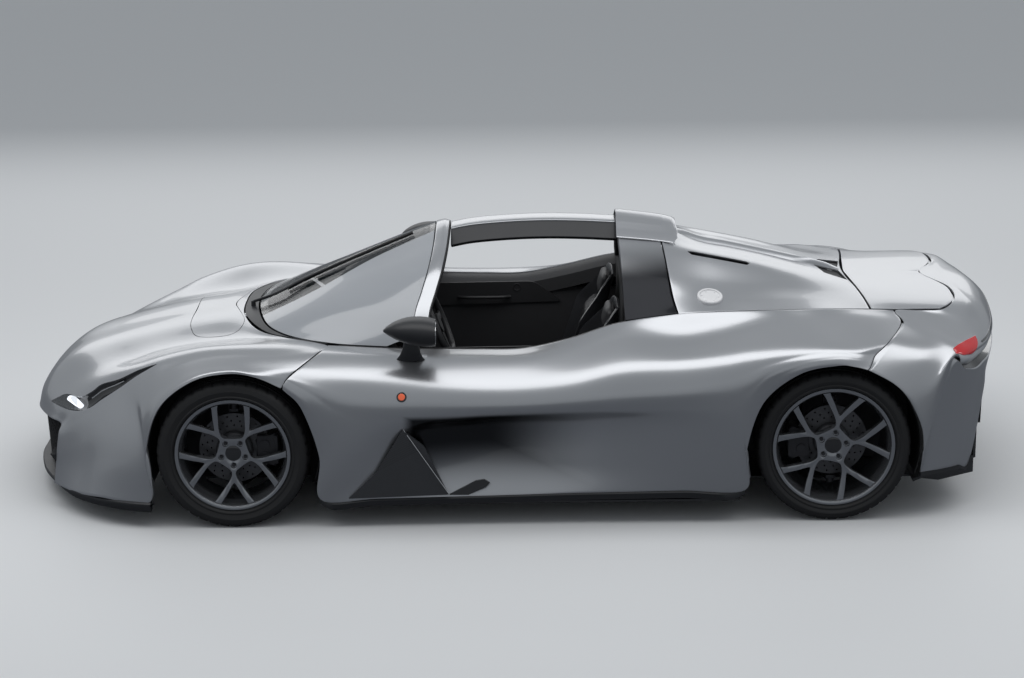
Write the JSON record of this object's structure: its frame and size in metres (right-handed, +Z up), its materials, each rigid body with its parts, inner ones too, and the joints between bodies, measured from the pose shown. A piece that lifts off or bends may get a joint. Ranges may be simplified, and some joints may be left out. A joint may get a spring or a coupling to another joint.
{
  "type": "open two-seat sports car",
  "caption": "Mid-engined open-sided sports car with wrap-round screen, roof bar and hoop, steered front wheels, free-rolling wheels and a hinged rear deck lid.",
  "frame": {"origin": "centre of the bounding box on the ground", "axes": "+X towards the tail, +Y to the car's right, +Z up; the nose is at -X and the driver sits at -Y"},
  "size_m": [4.185, 1.8732, 1.132],
  "materials": {
    "paint": "gloss silver",
    "carbon": "dark glossy moulding",
    "trim": "matt black",
    "metal": "dark grey",
    "disc": "turned",
    "alloy": "satin grey",
    "tyre": "black rubber",
    "glass": "clear",
    "lens": "lamp lens",
    "red_lens": "red lens",
    "seat": "black",
    "pipe": "polished steel"
  },
  "bodies": {
    "chassis": {"tub": "carbon", "underbody": "carbon", "front_splitter": "carbon", "front_clamshell": "paint", "service_panel": "paint", "grilles": "trim", "body_side_left": "paint", "body_side_right": "paint", "side_duct_panels": "carbon", "rear_clamshell": "paint", "engine_cover": "paint", "rear_diffuser": "carbon", "exhaust": "pipe", "engine_block": "metal", "windscreen": "glass", "windscreen_frame": "paint", "roof_bar": "paint", "roof_hoop": "carbon", "roof_scoop": "paint", "cowl_panel": "carbon", "wiper": "trim", "mirrors": "carbon", "headlamps": "lens", "tail_lamps": "red_lens", "dashboard": "trim", "steering_wheel": "carbon", "seats": "seat", "fuel_cap": "pipe", "wheel_liners": "trim", "subframes": "metal", "suspension": "metal"},
    "deck_lid": {"deck_lid": "paint"},
    "knuckle_left": {"knuckle_left": "metal"},
    "knuckle_right": {"knuckle_right": "metal"},
    "wheel_front_left": {"disc_front_left": "disc", "tyre_front_left": "tyre", "rim_front_left": "alloy"},
    "wheel_front_right": {"disc_front_right": "disc", "tyre_front_right": "tyre", "rim_front_right": "alloy"},
    "wheel_rear_left": {"disc_rear_left": "disc", "tyre_rear_left": "tyre", "rim_rear_left": "alloy"},
    "wheel_rear_right": {"disc_rear_right": "disc", "tyre_rear_right": "tyre", "rim_rear_right": "alloy"}
  },
  "joints": [
    {"name": "steer_left", "type": "hinge", "parent": "chassis", "child": "knuckle_left", "pos_m": [-1.1525, -0.755, 0.3146], "axis": [0, 0, 1], "range_deg": [-30, 30]},
    {"name": "steer_right", "type": "hinge", "parent": "chassis", "child": "knuckle_right", "pos_m": [-1.1525, 0.755, 0.3146], "axis": [0, 0, 1], "range_deg": [-30, 30]},
    {"name": "roll_front_left", "type": "hinge", "parent": "knuckle_left", "child": "wheel_front_left", "pos_m": [-1.1525, -0.785, 0.3146], "axis": [0, 1, 0], "continuous": true},
    {"name": "roll_front_right", "type": "hinge", "parent": "knuckle_right", "child": "wheel_front_right", "pos_m": [-1.1525, 0.785, 0.3146], "axis": [0, 1, 0], "continuous": true},
    {"name": "roll_rear_left", "type": "hinge", "parent": "chassis", "child": "wheel_rear_left", "pos_m": [1.3225, -0.7565, 0.3178], "axis": [0, 1, 0], "continuous": true},
    {"name": "roll_rear_right", "type": "hinge", "parent": "chassis", "child": "wheel_rear_right", "pos_m": [1.3225, 0.7565, 0.3178], "axis": [0, 1, 0], "continuous": true},
    {"name": "deck_lid_hinge", "type": "hinge", "parent": "chassis", "child": "deck_lid", "pos_m": [1.58743, 0, 0.80752], "axis": [0, -1, 0], "range_deg": [0, 60]}
  ],
  "couplings": [
    {"joint": "steer_right", "follows": "steer_left", "ratio": 1}
  ]
}
